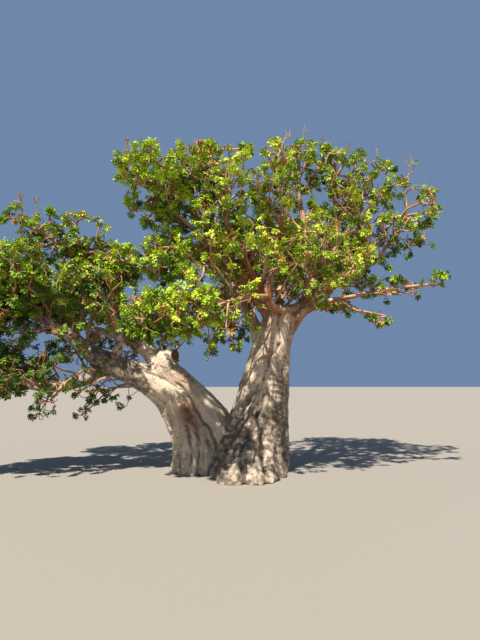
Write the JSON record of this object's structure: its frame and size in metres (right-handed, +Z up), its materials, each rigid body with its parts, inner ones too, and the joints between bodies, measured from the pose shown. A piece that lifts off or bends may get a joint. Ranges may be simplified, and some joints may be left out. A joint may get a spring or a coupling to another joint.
{
  "type": "baobab tree",
  "caption": "Squat baobab with a stout leaning trunk, a second stem arching to the left, curving boughs and an open crown of leafy masses.",
  "frame": {"origin": "on the flat cut under the main trunk, at ground level, at its left side where the two stems meet", "axes": "+Z up, +X to the right and +Y to the back as seen from the front, with the second stem on the left"},
  "size_m": [9.7743, 5.1802, 6.9521],
  "materials": {
    "bark": "smooth grey-tan bark with folds, patches and scars",
    "upper_bark": "pinkish brown bark of boughs and twigs",
    "leaves": "fresh green leaves, slightly glossy"
  },
  "bodies": {
    "root": {"main_trunk": "bark", "left_trunk": "bark", "left_fore_arm": "upper_bark", "left_rear_arm": "upper_bark", "sawn_stub": "upper_bark", "low_left_bough": "upper_bark", "mid_left_bough": "upper_bark", "upright_left_bough": "upper_bark", "rear_left_bough": "upper_bark", "top_left_bough": "upper_bark", "back_left_bough": "upper_bark", "crown_left_arm": "upper_bark", "crown_left_tip_bough": "upper_bark", "crown_left_upper_bough": "upper_bark", "crown_left_lower_bough": "upper_bark", "crown_fore_left_bough": "upper_bark", "crown_fore_bough": "upper_bark", "crown_right_arm": "upper_bark", "crown_right_low_bough": "upper_bark", "crown_top_bough": "upper_bark", "crown_inner_bough": "upper_bark", "crown_right_upper_bough": "upper_bark", "crown_right_tip_bough": "upper_bark", "crown_right_hanging_bough": "upper_bark", "front_low_bough": "upper_bark", "front_right_bough": "upper_bark", "back_left_arm": "upper_bark", "back_bough": "upper_bark", "back_right_bough": "upper_bark", "low_left_mass": "leaves", "low_left_rear_mass": "leaves", "mid_left_outer_mass": "leaves", "mid_left_upper_mass": "leaves", "upright_left_mass": "leaves", "left_bridge_mass": "leaves", "top_left_mass": "leaves", "top_left_outer_mass": "leaves", "rear_left_mass": "leaves", "back_left_mass": "leaves", "front_low_mass": "leaves", "front_low_outer_mass": "leaves", "crown_left_tip_mass": "leaves", "crown_left_fringe_mass": "leaves", "crown_left_upper_mass": "leaves", "crown_left_lower_mass": "leaves", "crown_fore_left_mass": "leaves", "crown_fore_mass": "leaves", "crown_top_mass": "leaves", "crown_inner_mass": "leaves", "crown_right_upper_mass": "leaves", "crown_right_tip_mass": "leaves", "crown_right_outer_mass": "leaves", "crown_right_mass": "leaves", "crown_right_low_mass": "leaves", "crown_right_hanging_mass": "leaves", "front_right_mass": "leaves", "back_left_upper_mass": "leaves", "back_low_mass": "leaves", "back_mass": "leaves", "back_right_mass": "leaves"}
  },
  "joints": []
}
